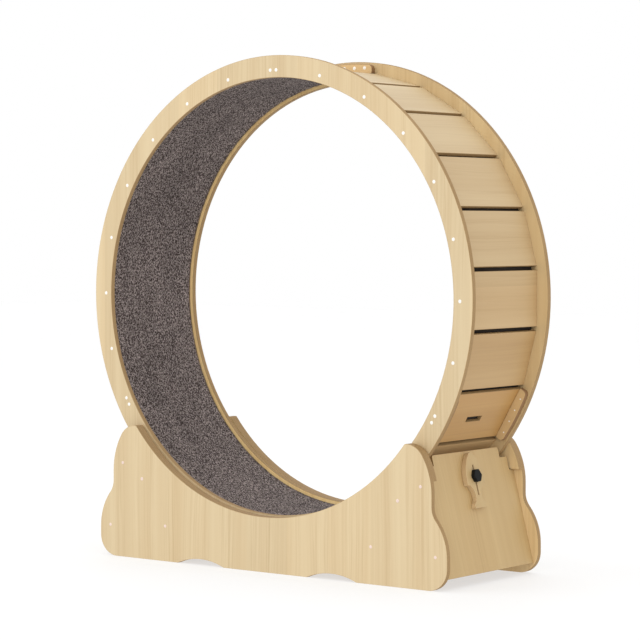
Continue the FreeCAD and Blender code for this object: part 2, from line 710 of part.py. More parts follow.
# ---- latch ------------------------------------------------------------------------------------
def latch_board():
    """Sliding latch: arched head, ledge, waisted tail and a long slot for the bolt."""
    body = new_body("latch_board")
    sketch = new_sketch(body, "XY_Plane", "latch_outline")
    head = size("latch_head_width") / 2
    side_radius = size("latch_side_radius")
    top_radius = size("latch_top_radius")
    ledge = size("latch_ledge_width") / 2
    neck = size("latch_neck_width") / 2
    tail = size("latch_tail_width") / 2
    latch_top = panel_top - size("latch_top_drop")
    ledge_y = latch_top - size("latch_head_length")
    neck_y = ledge_y - size("latch_neck_drop")
    tail_y = latch_top - size("latch_length")
    toe_y = tail_y + size("latch_tail_height")
    # each round side touches the round top from outside
    top_centre = (0, latch_top - top_radius)
    inset = head - side_radius
    side_y = top_centre[1] - math.sqrt((side_radius - top_radius) ** 2 - inset ** 2)
    touch = polar((inset, side_y), side_radius, math.atan2(top_centre[1] - side_y, -inset))
    # the tail flares out along a round hollow that stands upright at the neck
    flare = tail - neck
    flare_radius = (flare ** 2 + (neck_y - toe_y) ** 2) / (2 * flare)
    taper = ledge - neck
    taper_radius = (taper ** 2 + size("latch_neck_drop") ** 2) / (2 * taper)
    right = [
        line((tail, tail_y), (tail, toe_y)),
        arc((neck + flare_radius, neck_y), flare_radius, (neck, neck_y), (tail, toe_y)),
        arc((neck + taper_radius, neck_y), taper_radius, (ledge, ledge_y), (neck, neck_y)),
        line((ledge, ledge_y), (head, ledge_y)),
        line((head, ledge_y), (head, side_y)),
        arc((inset, side_y), side_radius, (head, side_y), touch),
    ]
    edges = [line((-tail, tail_y), (tail, tail_y))] + right
    edges.append(arc(top_centre, top_radius, touch, (-touch[0], touch[1])))
    edges += [mirrored(edge) for edge in reversed(right)]
    draw_outline(sketch, edges, {6: "Sizes.latch_side_radius", 7: "Sizes.latch_top_radius",
                                 8: "Sizes.latch_side_radius"})
    half = size("latch_bolt_radius") + size("latch_bolt_play")
    slot_top = latch_top - size("latch_slot_top") - half
    slot_bottom = latch_top - size("latch_slot_top") - size("latch_slot_length") + half
    slot = [
        arc((0, slot_top), half, (half, slot_top), (-half, slot_top)),
        line((-half, slot_top), (-half, slot_bottom)),
        arc((0, slot_bottom), half, (-half, slot_bottom), (half, slot_bottom)),
        line((half, slot_bottom), (half, slot_top)),
    ]
    width = "Sizes.latch_bolt_radius + Sizes.latch_bolt_play"
    draw_outline(sketch, slot, {0: width, 2: width})
    pad(body, sketch, "latch_blank", "Sizes.latch_thickness")
    body.Placement = sloping_place(panel_outer + size("latch_slide_gap"))


def latch_bolt():
    """Round-headed bolt from behind the panel, through the latch's slot and into the knob."""
    seat = FreeCAD.Placement(vec(0, latch_bolt_slope, 0), FreeCAD.Rotation())
    shank_length = (
        "Sizes.panel_thickness + Sizes.latch_thickness + Sizes.latch_slide_gap + Sizes.knob_bore_depth")
    bolt = doc.addObject("Part::Fuse", "latch_bolt")
    bolt.Base = bar("latch_bolt_shank", "Sizes.latch_bolt_radius", shank_length,
                    sloping_place(panel_inner).multiply(seat))
    bolt.Tool = bar("latch_bolt_head", "Sizes.latch_bolt_head_radius", "Sizes.latch_bolt_head_height",
                    sloping_place(panel_inner - size("latch_bolt_head_height")).multiply(seat),
                    bolt_head_sides)
    add_part(bolt, "latch_bolt")


def latch_knob():
    """Hexagonal knob with rounded edges, a bevelled face and a blind bore."""
    body = new_body("latch_knob")
    sketch = new_sketch(body, "XY_Plane", "knob_outline")
    corner = size("knob_corner")
    flats = size("knob_flats") / 2
    # centres of the six rounded edges
    centre_radius = (flats - corner) / math.cos(math.pi / 6)
    edges = []
    for side in range(6):
        angle = side * math.pi / 3
        centre = polar((0, 0), centre_radius, angle)
        start = polar(centre, corner, angle - math.pi / 6)
        end = polar(centre, corner, angle + math.pi / 6)
        following = polar((0, 0), centre_radius, angle + math.pi / 3)
        edges.append(arc(centre, corner, start, end))
        edges.append(line(end, polar(following, corner, angle + math.pi / 6)))
    draw_outline(sketch, edges, {2 * side: "Sizes.knob_corner" for side in range(6)})
    block = pad(body, sketch, "knob_block", "Sizes.knob_height")
    doc.recompute()
    face_edges = ["Edge%d" % number for number, edge in enumerate(block.Shape.Edges, start=1)
                  if min(point.Point.z for point in edge.Vertexes) > size("knob_height") - 1e-6]
    bevel = body.newObject("PartDesign::Chamfer", "knob_bevel")
    bevel.Base = (block, face_edges)
    bevel.setExpression("Size", "Sizes.knob_bevel")
    bore_sketch = new_sketch(body, "XY_Plane", "knob_bore_outline")
    draw_hole(bore_sketch, (0, 0), size("latch_bolt_radius") + size("axle_fit"),
              "Sizes.latch_bolt_radius + Sizes.axle_fit")
    bore = body.newObject("PartDesign::Pocket", "knob_bore")
    bore.Profile = bore_sketch
    bore.Reversed = True
    bore.setExpression("Length", "Sizes.knob_bore_depth")
    bore_sketch.Visibility = False
    knob_face = panel_outer + 2 * size("latch_slide_gap") + size("latch_thickness")
    seat = FreeCAD.Placement(vec(0, latch_bolt_slope, 0), FreeCAD.Rotation())
    body.Placement = sloping_place(knob_face).multiply(seat)
    return block, bore


# ---- the whole assembly -------------------------------------------------------------------------
for span_name, span in ring_spans.items():
    ring_segment("front_ring_" + span_name, span, -track_half)
    ring_segment("rear_ring_" + span_name, span, ring_outer_face)
for tread_number in range(1, tread_count + 1):
    tread(tread_number)
carpet()
for joint_tread, joint_name in ring_joint_treads.items():
    splice_plate("front_splice_" + joint_name, joint_tread, -splice_face)
    splice_plate("rear_splice_" + joint_name, joint_tread, track_half)
ring_caps()
splice_caps()
base_boards()
end_panel("end_panel_latch", 1)
end_panel("end_panel_plain", -1)
cross_rail("cross_rail_right", 1)
cross_rail("cross_rail_left", -1)
for roller_hand, hand_name in ((1, "right"), (-1, "left")):
    roller("roller_front_" + hand_name, roller_hand, -1)
    roller("roller_rear_" + hand_name, roller_hand, 1)
roller_hardware()
base_caps()
latch_board()
latch_bolt()
knob_block, knob_bore = latch_knob()
doc.recompute()

# ---- checks before anything is written -------------------------------------------------------------
for item in doc.Objects:
    if "Invalid" in item.State or "Error" in item.State:
        raise RuntimeError("%s failed to build: %s" % (item.Name, item.State))
for item in parts:
    if item.Shape.isNull() or not item.Shape.isValid() or not item.Shape.Solids:
        raise RuntimeError("%s has no valid shape" % item.Label)
if not knob_bore.Shape.Volume < knob_block.Shape.Volume:
    raise RuntimeError("the knob's bore cuts nothing")

os.makedirs("parts", exist_ok=True)
for item in parts:
    item.Shape.exportStep(os.path.join("parts", item.Label + ".step"))
print("%d parts written" % len(parts))
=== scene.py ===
import bmesh
import bpy
import math
import numpy
from mathutils import Matrix, Vector


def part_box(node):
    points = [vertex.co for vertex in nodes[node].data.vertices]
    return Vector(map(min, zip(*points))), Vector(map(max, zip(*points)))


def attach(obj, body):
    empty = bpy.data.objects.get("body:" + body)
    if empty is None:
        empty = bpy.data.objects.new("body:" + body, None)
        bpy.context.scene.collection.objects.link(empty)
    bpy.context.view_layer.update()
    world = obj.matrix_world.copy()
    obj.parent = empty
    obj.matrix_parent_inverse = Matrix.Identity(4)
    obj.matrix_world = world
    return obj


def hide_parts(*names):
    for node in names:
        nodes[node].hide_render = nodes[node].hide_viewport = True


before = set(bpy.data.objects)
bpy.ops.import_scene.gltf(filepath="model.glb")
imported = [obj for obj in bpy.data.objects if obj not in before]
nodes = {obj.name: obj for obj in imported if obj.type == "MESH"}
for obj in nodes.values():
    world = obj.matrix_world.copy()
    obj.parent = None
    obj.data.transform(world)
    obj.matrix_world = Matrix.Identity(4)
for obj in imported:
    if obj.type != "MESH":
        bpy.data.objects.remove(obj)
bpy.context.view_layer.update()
print("frame loaded:", len(nodes), "nodes")

alongX, alongY, alongZ = Vector((1, 0, 0)), Vector((0, 1, 0)), Vector((0, 0, 1))

# the wheel's own layout, in metres and degrees
wheel = {
    "axisHeight": 0.6283,
    "treadCount": 24,
    "treadFirstAngle": 90,
    "slottedTread": 9,
    "carpetBack": 0.5112,
    "carpetPile": 0.5063,
    "carpetHalfWidth": 0.143,
}
axisPoint = Vector((0, 0, wheel["axisHeight"]))


def startMaterial(name):
    material = bpy.data.materials.new(name)
    material.use_nodes = True
    tree = material.node_tree
    return material, tree, tree.nodes["Principled BSDF"]


def setInputs(tree, node, inputs):
    # a socket is linked, a plain value is written into the node's own socket
    for key, value in inputs.items():
        if isinstance(value, bpy.types.NodeSocket):
            tree.links.new(value, node.inputs[key])
        else:
            node.inputs[key].default_value = value


def addNode(tree, kind, inputs=None, **settings):
    node = tree.nodes.new(kind)
    for key, value in settings.items():
        setattr(node, key, value)
    setInputs(tree, node, inputs or {})
    return node


def attributeOf(tree, name, output="Vector"):
    return addNode(tree, "ShaderNodeAttribute", attribute_name=name).outputs[output]


def placeOf(tree):
    return addNode(tree, "ShaderNodeTexCoord").outputs["Object"]


def mathOf(tree, operation, first, second=0.0):
    return addNode(tree, "ShaderNodeMath", {0: first, 1: second}, operation=operation).outputs[0]


def vectorOf(tree, operation, first, second=(0, 0, 0), output="Vector"):
    inputs = {0: first, 1: second}
    return addNode(tree, "ShaderNodeVectorMath", inputs, operation=operation).outputs[output]


def noiseOf(tree, vector, scale, detail=2.0, roughness=0.5, distortion=0.0, place=(0, 0, 0)):
    # three scales stretch the pattern along X, Y and Z
    if isinstance(scale, tuple):
        stretch = {"Vector": vector, "Scale": scale, "Location": place}
        vector, scale = addNode(tree, "ShaderNodeMapping", stretch).outputs[0], 1
    return addNode(tree, "ShaderNodeTexNoise", {
        "Vector": vector, "Scale": scale, "Detail": detail, "Roughness": roughness,
        "Distortion": distortion}).outputs["Fac"]


def rangeOf(tree, value, ends, span=(0, 1)):
    # what lies in the span is spread between the two ends
    return addNode(tree, "ShaderNodeMapRange", {
        "Value": value, "From Min": span[0], "From Max": span[1],
        "To Min": ends[0], "To Max": ends[1]}).outputs[0]


def rampOf(tree, value, places, colours):
    node = addNode(tree, "ShaderNodeValToRGB", {"Fac": value})
    elements = node.color_ramp.elements
    while len(elements) < len(places):
        elements.new(0.5)
    for element, place, colour in zip(elements, places, colours):
        element.position = place
        element.color = (*colour, 1)
    return node.outputs["Color"]


def fadeOf(tree, value, places, start=1, end=0):
    return rampOf(tree, value, places, ((start,) * 3, (end,) * 3))


def greyOf(tree, value):
    return addNode(tree, "ShaderNodeCombineColor", {0: value, 1: value, 2: value}).outputs[0]


def mixOf(tree, share, first, second, blend="MIX"):
    first, second = ((*colour, 1) if isinstance(colour, tuple) else colour
                     for colour in (first, second))
    inputs = {0: share, 6: first, 7: second}  # the factor and the two colour sockets
    return addNode(tree, "ShaderNodeMix", inputs, data_type="RGBA", blend_type=blend).outputs[2]


def multiplied(tree, colour, by):
    return mixOf(tree, 1.0, colour, by, "MULTIPLY")


def bumpOf(tree, height, depth, strength, under=None):
    inputs = {"Height": height, "Distance": depth, "Strength": strength}
    if under is not None:
        inputs["Normal"] = under
    return addNode(tree, "ShaderNodeBump", inputs).outputs[0]


# grains are noise: repeats per metre along the grain, across it and through the board
# fades run between two heights of a noise, reliefs are depth in metres and strength
veneer = {
    "pale": (0.660, 0.525, 0.320),
    "warm": (0.600, 0.455, 0.262),
    "streak": (0.500, 0.358, 0.190),
    "honeyToneAndShade": (0.75, 0.53, 0.27),  # multiplies the deeper boards: partly their own tone, partly painted shade
    "insidePaintedLight": (1.17, 1.12, 1.0),  # painted light: lifts the boards inside the base and wheel that sit in shade; multiplies a whole finish, as the next two do
    # painted shade: a warmer, darker copy of the veneer for the rings' inner faces
    "ringInsideShade": (0.98, 0.93, 0.82),
    "golden": (1.01, 1.01, 0.91),
    # painted highlight: multiplies the ring's inside finish on the lip above the carpet
    "lipHighlight": (1.55, 1.50, 1.34),
    "lipHeight": 0.002,
    "leafWidth": 0.118,
    "leafTone": (0.955, 1.03),
    "wander": 0.035,
    "wanderGrain": {"scale": (1.6, 5, 1)},
    "broadGrain": {"scale": (0.55, 22, 1), "detail": 3, "roughness": 0.55},
    "broadFade": (0.30, 0.66),
    "crowdGrain": {"scale": (0.35, 31, 1), "place": (3.1, 7.7, 0)},
    "crowdFade": (0.40, 0.62),
    "crowdLeast": 0.12,
    "fineGrain": {"scale": (2.2, 190, 1), "detail": 5, "roughness": 0.62},
    "fineFade": (0.36, 0.54),
    "fineStrength": 0.62,
    "fineRelief": (0.00012, 0.35),
    "hairGrain": {"scale": (7, 820, 1), "detail": 3, "roughness": 0.6},
    "hairFade": (0.40, 0.50),
    "hairStrength": 0.26,
    "hairRelief": (0.00008, 0.45),
    "roughness": (0.39, 0.56),
    "specular": 0.35,
    "coat": 0.08,
    "coatRoughness": 0.35,
}


def makeVeneer(name, contrast=1.0, tint=None):
    # boardSpace holds metres along the grain, across it and through the board
    material, tree, shader = startMaterial(name)
    space = attributeOf(tree, "boardSpace")
    wanderNoise = noiseOf(tree, space, **veneer["wanderGrain"])
    wander = mathOf(tree, "MULTIPLY", wanderNoise, veneer["wander"])
    sideways = addNode(tree, "ShaderNodeCombineXYZ", {"Y": wander}).outputs[0]
    bent = vectorOf(tree, "ADD", space, sideways)
    broad = noiseOf(tree, bent, **veneer["broadGrain"])
    fine = noiseOf(tree, bent, **veneer["fineGrain"])
    hair = noiseOf(tree, bent, **veneer["hairGrain"])
    colour = rampOf(tree, broad, veneer["broadFade"], (veneer["warm"], veneer["pale"]))
    # streaks crowd together in some bands and leave others nearly plain
    crowdNoise = noiseOf(tree, bent, **veneer["crowdGrain"])
    crowd = fadeOf(tree, crowdNoise, veneer["crowdFade"], veneer["crowdLeast"], 1)
    for grain, kind in ((fine, "fine"), (hair, "hair")):
        streaks = mathOf(tree, "MULTIPLY", fadeOf(tree, grain, veneer[kind + "Fade"]), crowd)
        share = mathOf(tree, "MULTIPLY", streaks, veneer[kind + "Strength"] * contrast)
        colour = mixOf(tree, share, colour, veneer["streak"])
    # sliced veneer comes in leaves, each a little different
    across = addNode(tree, "ShaderNodeSeparateXYZ", {"Vector": space}).outputs["Y"]
    leaf = mathOf(tree, "FLOOR", mathOf(tree, "DIVIDE", across, veneer["leafWidth"]))
    chance = addNode(tree, "ShaderNodeTexWhiteNoise", {"W": leaf}, noise_dimensions="1D")
    leafTone = rangeOf(tree, chance.outputs["Value"], veneer["leafTone"])
    colour = multiplied(tree, colour, greyOf(tree, leafTone))
    # single boards go towards honey: partly their own tone, partly painted shade
    deeper = multiplied(tree, colour, veneer["honeyToneAndShade"])
    colour = mixOf(tree, attributeOf(tree, "boardToneAndShade", "Fac"), colour, deeper)
    if tint:
        colour = multiplied(tree, colour, veneer[tint])
    if tint == "ringInsideShade":
        # painted highlight: the lip that stands above the carpet is painted paler, where it would
        # catch the light
        fromAxis = vectorOf(tree, "SUBTRACT", placeOf(tree), axisPoint)
        outward = vectorOf(tree, "MULTIPLY", fromAxis, (1, 0, 1))
        radius = vectorOf(tree, "LENGTH", outward, output="Value")
        lipHighlightMask = mathOf(tree, "LESS_THAN", radius, wheel["carpetPile"] + veneer["lipHeight"])
        colour = mixOf(tree, lipHighlightMask, colour, multiplied(tree, colour, veneer["lipHighlight"]))
    relief = bumpOf(tree, fine, *veneer["fineRelief"])
    setInputs(tree, shader, {
        "Base Color": colour,
        "Roughness": rangeOf(tree, fine, veneer["roughness"]),
        "Normal": bumpOf(tree, hair, *veneer["hairRelief"], relief),
        "Specular IOR Level": veneer["specular"],
        "Coat Weight": veneer["coat"],
        "Coat Roughness": veneer["coatRoughness"],
    })
    return material


cutEdge = {
    # light ply, dark ply and glue line
    "browned": ((0.480, 0.318, 0.148), (0.340, 0.212, 0.092), (0.165, 0.098, 0.045)),
    "sanded": ((0.640, 0.480, 0.270), (0.580, 0.415, 0.225), (0.450, 0.310, 0.165)),
    "scorched": ((0.360, 0.210, 0.098), (0.270, 0.150, 0.068), (0.130, 0.070, 0.032)),
    "plyThickness": 0.00133,
    "plyOffset": 40.3,  # counts the plies from well outside the board
    "waver": 0.00035,
    "waverGrain": {"scale": (22, 22, 60)},
    "fibreGrain": {"scale": (260, 260, 1500), "detail": 3, "roughness": 0.6},
    "fibreFade": (0.35, 0.6),
    "fibreStrength": 0.45,
    "scorchGrain": {"scale": (9, 9, 30), "detail": 3, "roughness": 0.55},
    "scorchFade": (0.42, 0.62),
    "scorchStrength": 0.55,
    "glueShare": 0.11,
    "glueStrength": 0.6,
    "glueSink": 0.5,
    "relief": (0.00015, 0.5),
    "roughness": 0.62,
    "specular": 0.25,
}


def makeCutEdge(name, shade):
    # plies with crossing grain and dark glue lines, browned or scorched by the cutter, or sanded
    light, dark, glue = cutEdge[shade]
    material, tree, shader = startMaterial(name)
    space = attributeOf(tree, "boardSpace")
    through = addNode(tree, "ShaderNodeSeparateXYZ", {"Vector": space}).outputs["Z"]
    waverNoise = noiseOf(tree, space, **cutEdge["waverGrain"])
    waver = mathOf(tree, "MULTIPLY", waverNoise, cutEdge["waver"])
    depth = mathOf(tree, "DIVIDE", mathOf(tree, "ADD", through, waver), cutEdge["plyThickness"])
    ply = mathOf(tree, "ADD", depth, cutEdge["plyOffset"])
    everyOther = mathOf(tree, "FRACT", mathOf(tree, "MULTIPLY", ply, 0.5))
    crossing = mathOf(tree, "GREATER_THAN", everyOther, 0.5)
    glueLine = mathOf(tree, "LESS_THAN", mathOf(tree, "FRACT", ply), cutEdge["glueShare"])
    fibre = noiseOf(tree, space, **cutEdge["fibreGrain"])
    scorch = noiseOf(tree, space, **cutEdge["scorchGrain"])
    colour = mixOf(tree, crossing, light, dark)
    for grain, kind in ((fibre, "fibre"), (scorch, "scorch")):
        darker = fadeOf(tree, grain, cutEdge[kind + "Fade"], cutEdge[kind + "Strength"])
        colour = mixOf(tree, darker, colour, dark)
    colour = mixOf(tree, mathOf(tree, "MULTIPLY", glueLine, cutEdge["glueStrength"]), colour, glue)
    sunk = mathOf(tree, "MULTIPLY", glueLine, cutEdge["glueSink"])
    height = mathOf(tree, "SUBTRACT", fibre, sunk)
    setInputs(tree, shader, {
        "Base Color": colour,
        "Roughness": cutEdge["roughness"],
        "Normal": bumpOf(tree, height, *cutEdge["relief"]),
        "Specular IOR Level": cutEdge["specular"],
    })
    return material


veneerFace = makeVeneer("birchVeneer")
veneerTread = makeVeneer("birchVeneerTread", contrast=0.7)
# the inside boards: painted light lifts their shade
veneerInsidePaintedLight = makeVeneer("birchVeneerInsidePaintedLight", tint="insidePaintedLight")
# the rings' inner faces: painted shade all over and a painted highlight on the lip
veneerRingShadeAndHighlight = makeVeneer("birchVeneerRingShadeAndHighlight", tint="ringInsideShade")
veneerPanel = makeVeneer("birchVeneerPanel", contrast=0.8, tint="golden")
brownedEdge = makeCutEdge("brownedPlyEdge", "browned")
sandedEdge = makeCutEdge("sandedPlyEdge", "sanded")
scorchedEdge = makeCutEdge("scorchedPlyEdge", "scorched")
print("veneers and cut edges made")


def finishPiece(name, mesh, body, materials, replaced=()):
    for material in materials:
        mesh.materials.append(material)
    piece = bpy.data.objects.new(name, mesh)
    bpy.context.scene.collection.objects.link(piece)
    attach(piece, body)
    if replaced:
        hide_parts(*replaced)
    return piece


# how a node's own shape is taken over, in metres and degrees
copying = {
    "weld": 2e-6,
    "flatAngle": 0.4,
    "sharpAngle": 30,
    "normalWeight": 80,
}


def weldedShape(nodeName):
    shape = bmesh.new()
    shape.from_mesh(nodes[nodeName].data)
    bmesh.ops.remove_doubles(shape, verts=shape.verts, dist=copying["weld"])
    return shape


def easedShape(nodeName, arris, steps, keptSharp=None, moveOut=0):
    # flats are joined up again and sharp edges eased; kept faces stay sharp and move out
    shape = weldedShape(nodeName)
    flat = math.radians(copying["flatAngle"])
    bmesh.ops.dissolve_limit(shape, angle_limit=flat, verts=shape.verts, edges=shape.edges)
    limit = math.radians(copying["sharpAngle"])
    sharp = [edge for edge in shape.edges
             if len(edge.link_faces) == 2 and edge.calc_face_angle() > limit]
    kept = [face for face in shape.faces if keptSharp and keptSharp(face)]
    moves = [(vertex, face.normal * moveOut) for face in kept for vertex in face.verts]
    for face in kept:
        for edge in face.edges:
            edge.smooth = False
    for vertex, move in moves:
        vertex.co += move
    sharp = [edge for edge in sharp if edge.smooth]
    bmesh.ops.bevel(shape, geom=sharp, offset=arris, segments=steps, profile=0.5,
                    affect="EDGES", clamp_overlap=True)
    return shape


def softenNormals(piece):
    for face in piece.data.polygons:
        face.use_smooth = True
    weighted = piece.modifiers.new("evenShading", "WEIGHTED_NORMAL")
    weighted.weight = copying["normalWeight"]
    weighted.keep_sharp = True


board = {
    "arris": 0.0007,
    "arrisSteps": 2,
    "faceOn": 0.95,  # a flat that looks along the board's depth more than this is veneer
    "jointClosing": 0.0002,  # the ends of the ring boards move out by this, to a hairline
    "crosswise": 0.5,  # a ring's face that looks out or sideways more than this is no joint end
    "leafApart": 1.713,  # metres along the grain from one board's leaf to the next
    "leafAcross": 1.37,  # and how many times as far across it
    "ringLeaf": 50,
    "panelTilt": 14.8,
    "spliceAngle": {"top": 90, "right": -30, "left": 210},
    # how far whole boards go towards honey: partly their own tone, partly painted shade
    "spliceShadeAndTone": {"top": 0.25, "right": 0.2, "left": 0.2},
    "panelShadeAndTone": 0.42,
    "latchShadeAndTone": 0.36,
    "railShadeAndTone": 0.5,
}
boards = []


def isJointEnd(face):
    # the cut across a ring, where two of its boards meet
    outward = face.calc_center_median() - axisPoint
    outward.y = 0
    looksOut = abs(face.normal.dot(outward.normalized()))
    return max(abs(face.normal.y), looksOut) < board["crosswise"]


def dressBoard(nodeName, body, through, grain, face, toneAndShade=0, edge=brownedEdge, back=None,
               keptSharp=None, leaf=None):
    # through points away from the back
    # boards with the same leaf are cut from one sheet, so their grain runs on
    shape = easedShape(nodeName, board["arris"], board["arrisSteps"], keptSharp,
                       board["jointClosing"])
    for polygon in shape.faces:
        facing = polygon.normal.dot(through)
        isFlat = abs(facing) > board["faceOn"]
        polygon.material_index = 1 if not isFlat else 0 if facing > 0 else 2  # edge, face, back
    depths = [vertex.co.dot(through) for vertex in shape.verts]
    middle = (min(depths) + max(depths)) / 2
    mesh = bpy.data.meshes.new(nodeName + "Board")
    shape.to_mesh(mesh)
    shape.free()
    across = through.cross(grain)
    shift = (len(boards) + 1 if leaf is None else leaf) * board["leafApart"]
    space = mesh.attributes.new("boardSpace", "FLOAT_VECTOR", "POINT")
    for vertex, value in zip(mesh.vertices, space.data):
        value.vector = (vertex.co.dot(grain) + shift,
                        vertex.co.dot(across) + shift * board["leafAcross"],
                        vertex.co.dot(through) - middle)
    toneAndShadeValues = mesh.attributes.new("boardToneAndShade", "FLOAT", "POINT")
    toneAndShadeValues.data.foreach_set("value", [toneAndShade] * len(mesh.vertices))
    piece = finishPiece(nodeName + "Board", mesh, body, (face, edge, back or face),
                        (nodeName,))
    softenNormals(piece)
    boards.append(piece)


# painted shade on the treads: the lower a board hangs, the deeper it is painted, up to the slotted
# board
treadShadeAndTone = {
    "atAxis": 0.44,
    "upwards": 0.42,  # taken off by the top
    "downwards": 1.3,  # put on below the axis, by the square
    "most": 0.9,
    "low": 0.42,  # past the slotted board
    "lowSpread": 0.15,
    "lowStep": 2.4,
}


def turnOfTread(number):
    step = 360 / wheel["treadCount"]
    return math.radians(wheel["treadFirstAngle"] - step * (number - 1))


def shadeAndToneOfTread(number):
    # painted shade: from the top the boards are painted deeper down to the one with the lock slot
    # past it they only differ mildly, in turns, as their own tone
    past = number - wheel["slottedTread"] - 1
    if past >= 0:
        return treadShadeAndTone["low"] + treadShadeAndTone["lowSpread"] * math.cos(treadShadeAndTone["lowStep"] * past)
    rise = math.sin(turnOfTread(number))
    toneAndShade = treadShadeAndTone["atAxis"] - treadShadeAndTone["upwards"] * rise
    return min(treadShadeAndTone["most"], toneAndShade + treadShadeAndTone["downwards"] * max(0, -rise) ** 2)


for side, outwards in (("front", -alongY), ("rear", alongY)):
    for part in ("right", "left", "bottom"):
        dressBoard(f"{side}_ring_{part}", "wheel", outwards, alongZ, veneerFace,
                   back=veneerRingShadeAndHighlight, keptSharp=isJointEnd, leaf=board["ringLeaf"] * outwards.y)
    dressBoard(f"side_plate_{side}", "base", outwards, alongZ, veneerFace, back=veneerInsidePaintedLight)
    dressBoard(f"cradle_board_{side}", "base", outwards, alongZ, veneerInsidePaintedLight)
    for part, angle in board["spliceAngle"].items():
        tangent = Vector((-math.sin(math.radians(angle)), 0, math.cos(math.radians(angle))))
        dressBoard(f"{side}_splice_{part}", "wheel", outwards, tangent, veneerInsidePaintedLight,
                   board["spliceShadeAndTone"][part], scorchedEdge)
for number in range(1, wheel["treadCount"] + 1):
    turn = turnOfTread(number)
    outward = Vector((math.cos(turn), 0, math.sin(turn)))
    dressBoard(f"tread_{number:02d}", "wheel", outward, alongY, veneerTread, shadeAndToneOfTread(number))
tilt = math.radians(board["panelTilt"])
for name, hand in (("end_panel_latch", 1), ("end_panel_plain", -1)):
    panelOut = Vector((hand * math.cos(tilt), 0, math.sin(tilt)))
    panelUp = Vector((-hand * math.sin(tilt), 0, math.cos(tilt)))
    dressBoard(name, "base", panelOut, panelUp, veneerPanel, board["panelShadeAndTone"])
    if name == "end_panel_latch":
        dressBoard("latch_board", "latch", panelOut, panelUp, veneerPanel, board["latchShadeAndTone"],
                   sandedEdge)
for side in ("right", "left"):
    dressBoard(f"cross_rail_{side}", "base", alongX, alongY, veneerTread, board["railShadeAndTone"])
print("boards dressed:", len(boards))


# what every moulded plastic shares: slightly uneven colour, fine eroded grain
moulded = {
    "cloud": {"scale": 60, "detail": 3, "roughness": 0.6},
    "cloudFade": (0.35, 0.65),
    "grain": {"detail": 3, "roughness": 0.65},
    "grainStrength": 0.6,
    "smoother": 0.06,
    "rougher": 0.08,
}


def makeMoulded(name, colour, roughness, grainScale, grainDepth, variation=0.12, coat=0.0,
                specular=0.5):
    material, tree, shader = startMaterial(name)
    place = placeOf(tree)
    cloud = noiseOf(tree, place, **moulded["cloud"])
    grain = noiseOf(tree, place, grainScale, **moulded["grain"])
    darker = tuple(value * (1 - variation) for value in colour)
    lighter = tuple(min(1, value * (1 + variation)) for value in colour)
    setInputs(tree, shader, {
        "Base Color": rampOf(tree, cloud, moulded["cloudFade"], (darker, lighter)),
        "Roughness": rangeOf(tree, grain, (roughness - moulded["smoother"],
                                           roughness + moulded["rougher"])),
        "Normal": bumpOf(tree, grain, grainDepth, moulded["grainStrength"]),
        "Specular IOR Level": specular,
        "Coat Weight": coat,
    })
    return material


carpet = {
    "around": 1080,  # points along the strip and across it
    "across": 98,
    "tuftHeight": 0.0022,
    "tuftShare": 0.62,
    "clumpShare": 0.38,
    "clumpPoints": (4, 2),
    "edgeRound": 0.0022,
    "edgeWidth": 0.004,
    "seed": 7,
    "dark": (0.034, 0.025, 0.023),
    "middle": (0.125, 0.098, 0.092),
    "light": (0.470, 0.395, 0.370),
    "tuftGrain": {"scale": (235, 340, 300), "detail": 2.5, "roughness": 0.68, "distortion": 0.3},
    "tuftFade": (0.42, 0.50, 0.585),
    "tuftRelief": (0.0022, 0.9),
    "fibreGrain": {"scale": (900, 1300, 1300), "roughness": 0.7},
    "fibreFade": (0.35, 0.6),
    "fibreStrength": 0.5,
    "fibreRelief": (0.0007, 0.7),
    "brushedGrain": {"scale": (5.5, 13, 1), "detail": 3, "roughness": 0.6},
    "brushedFade": (0.3, 0.7),
    "brushedTone": (0.78, 1.16),
    "roughness": 0.95,
    "specular": 0.1,
    "sheen": 0.04,
    "sheenRoughness": 0.6,
    # the back shows only through the gaps between the treads: its near-black colour is painted
    # shade for those gaps
    "backing": {"colour": (0.030, 0.021, 0.015), "roughness": 0.9, "grainScale": 700,
                "grainDepth": 0.0003},
}


def makeCarpetPile():
    material, tree, shader = startMaterial("carpetPile")
    space = attributeOf(tree, "carpetSpace")
    tuft = noiseOf(tree, space, **carpet["tuftGrain"])
    fibre = noiseOf(tree, space, **carpet["fibreGrain"])
    brushed = noiseOf(tree, space, **carpet["brushedGrain"])
    colour = rampOf(tree, tuft, carpet["tuftFade"],
                    (carpet["dark"], carpet["middle"], carpet["light"]))
    darker = fadeOf(tree, fibre, carpet["fibreFade"], carpet["fibreStrength"])
    colour = mixOf(tree, darker, colour, carpet["dark"])
    shade = rangeOf(tree, brushed, carpet["brushedTone"], carpet["brushedFade"])
    relief = bumpOf(tree, tuft, *carpet["tuftRelief"])
    setInputs(tree, shader, {
        "Base Color": multiplied(tree, colour, greyOf(tree, shade)),
        "Roughness": carpet["roughness"],
        "Normal": bumpOf(tree, fibre, *carpet["fibreRelief"], relief),
        "Specular IOR Level": carpet["specular"],
        "Sheen Weight": carpet["sheen"],
        "Sheen Roughness": carpet["sheenRoughness"],
    })
    return material


def pileHeights():
    # single tufts and the clumps that they lean into
    around, across = carpet["around"], carpet["across"]
    long, wide = carpet["clumpPoints"]
    random = numpy.random.default_rng(carpet["seed"])
    tufts = random.random((around, across))
    clumps = random.random((around // long, across // wide + 1))
    clumps = clumps.repeat(long, axis=0).repeat(wide, axis=1)[:, :across]
    clumps = (clumps + numpy.roll(clumps, 2, axis=0) + numpy.roll(clumps, 1, axis=1)) / 3
    return (carpet["tuftShare"] * tufts + carpet["clumpShare"] * clumps) * carpet["tuftHeight"]


